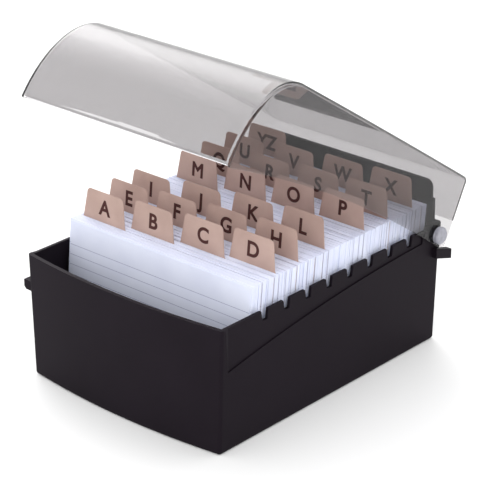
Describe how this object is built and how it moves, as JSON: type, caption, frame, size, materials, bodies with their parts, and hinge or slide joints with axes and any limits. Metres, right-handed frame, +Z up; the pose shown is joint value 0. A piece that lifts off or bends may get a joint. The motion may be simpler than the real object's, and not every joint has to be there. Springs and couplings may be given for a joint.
{
  "type": "index card drawer",
  "caption": "Desk drawer for index cards: a black tray with ratchet notches, a hinged smoke cover, tabbed alphabetical guides, packets of cards and a follower plate.",
  "frame": {"origin": "middle of the tray's underside, which stands on the desk", "axes": "+Z up, -Y towards the user, +X to the user's right"},
  "size_m": [0.1456, 0.2009, 0.1823],
  "materials": {
    "tray_plastic": "satin black moulding",
    "smoke_plastic": "clear smoke grey",
    "clear_plastic": "clear",
    "guide_board": "uncoated buff board",
    "card": "uncoated white card"
  },
  "bodies": {
    "tray": {"tray": "tray_plastic", "hinge_pin_left": "clear_plastic", "hinge_pin_right": "clear_plastic", "guide_a": "guide_board", "guide_b": "guide_board", "guide_c": "guide_board", "guide_d": "guide_board", "guide_e": "guide_board", "guide_f": "guide_board", "guide_g": "guide_board", "guide_h": "guide_board", "guide_i": "guide_board", "guide_j": "guide_board", "guide_k": "guide_board", "guide_l": "guide_board", "guide_m": "guide_board", "guide_n": "guide_board", "guide_o": "guide_board", "guide_p": "guide_board", "guide_q": "guide_board", "guide_r": "guide_board", "guide_s": "guide_board", "guide_t": "guide_board", "guide_u": "guide_board", "guide_v": "guide_board", "guide_w": "guide_board", "guide_x": "guide_board", "guide_yz": "guide_board", "cards_front": "card", "cards_a": "card", "cards_b": "card", "cards_c": "card", "cards_d": "card", "cards_e": "card", "cards_f": "card", "cards_g": "card", "cards_h": "card", "cards_i": "card", "cards_j": "card", "cards_k": "card", "cards_l": "card", "cards_m": "card", "cards_n": "card", "cards_o": "card", "cards_p": "card", "cards_q": "card", "cards_r": "card", "cards_s": "card", "cards_t": "card", "cards_u": "card", "cards_v": "card", "cards_w": "card", "cards_x": "card", "cards_yz": "card"},
    "cover": {"cover": "smoke_plastic"},
    "follower": {"follower": "tray_plastic"}
  },
  "joints": [
    {"name": "cover_hinge", "type": "hinge", "parent": "tray", "child": "cover", "pos_m": [0, 0.0818, 0.0644], "axis": [-1, 0, 0], "range_deg": [-32.5, 0]},
    {"name": "follower_lift", "type": "slide", "parent": "tray", "child": "follower", "axis": [0, 0.0976, 0.9952], "range_m": [0, 0.02]}
  ]
}
